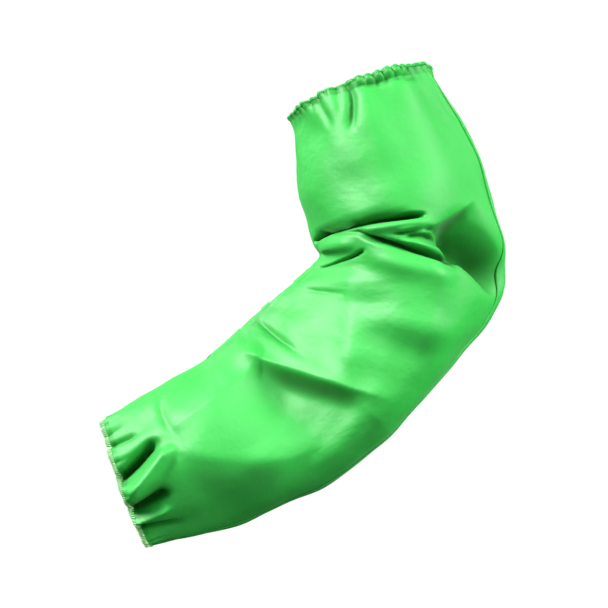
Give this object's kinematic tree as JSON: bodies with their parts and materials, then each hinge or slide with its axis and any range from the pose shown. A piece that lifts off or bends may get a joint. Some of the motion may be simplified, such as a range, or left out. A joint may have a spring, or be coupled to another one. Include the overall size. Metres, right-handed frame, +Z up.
{
  "type": "flame-resistant work sleeve",
  "caption": "Slack green cotton protective sleeve on a bent arm, an open cloth tube creased at the elbow, gathered by an elastic hem at the upper arm and wrist, with one long felled seam.",
  "frame": {"origin": "centre of the opening at the upper arm, in the plane of the hem's edge", "axes": "+Z up as worn, -Y towards the viewer in front of the wearer, +X away from the wearer's body, so the elbow points to +X and the wrist to -X"},
  "size_m": [0.2652, 0.1353, 0.3184],
  "materials": {
    "sleeve_cloth": "smooth cotton sateen with a soft sheen",
    "hem_cloth": "the same cotton, overlocked and gathered on elastic",
    "seam_cloth": "the same cotton, felled and topstitched"
  },
  "bodies": {
    "root": {"sleeve_body": "sleeve_cloth", "upper_hem": "hem_cloth", "wrist_hem": "hem_cloth", "long_seam": "seam_cloth"}
  },
  "joints": []
}
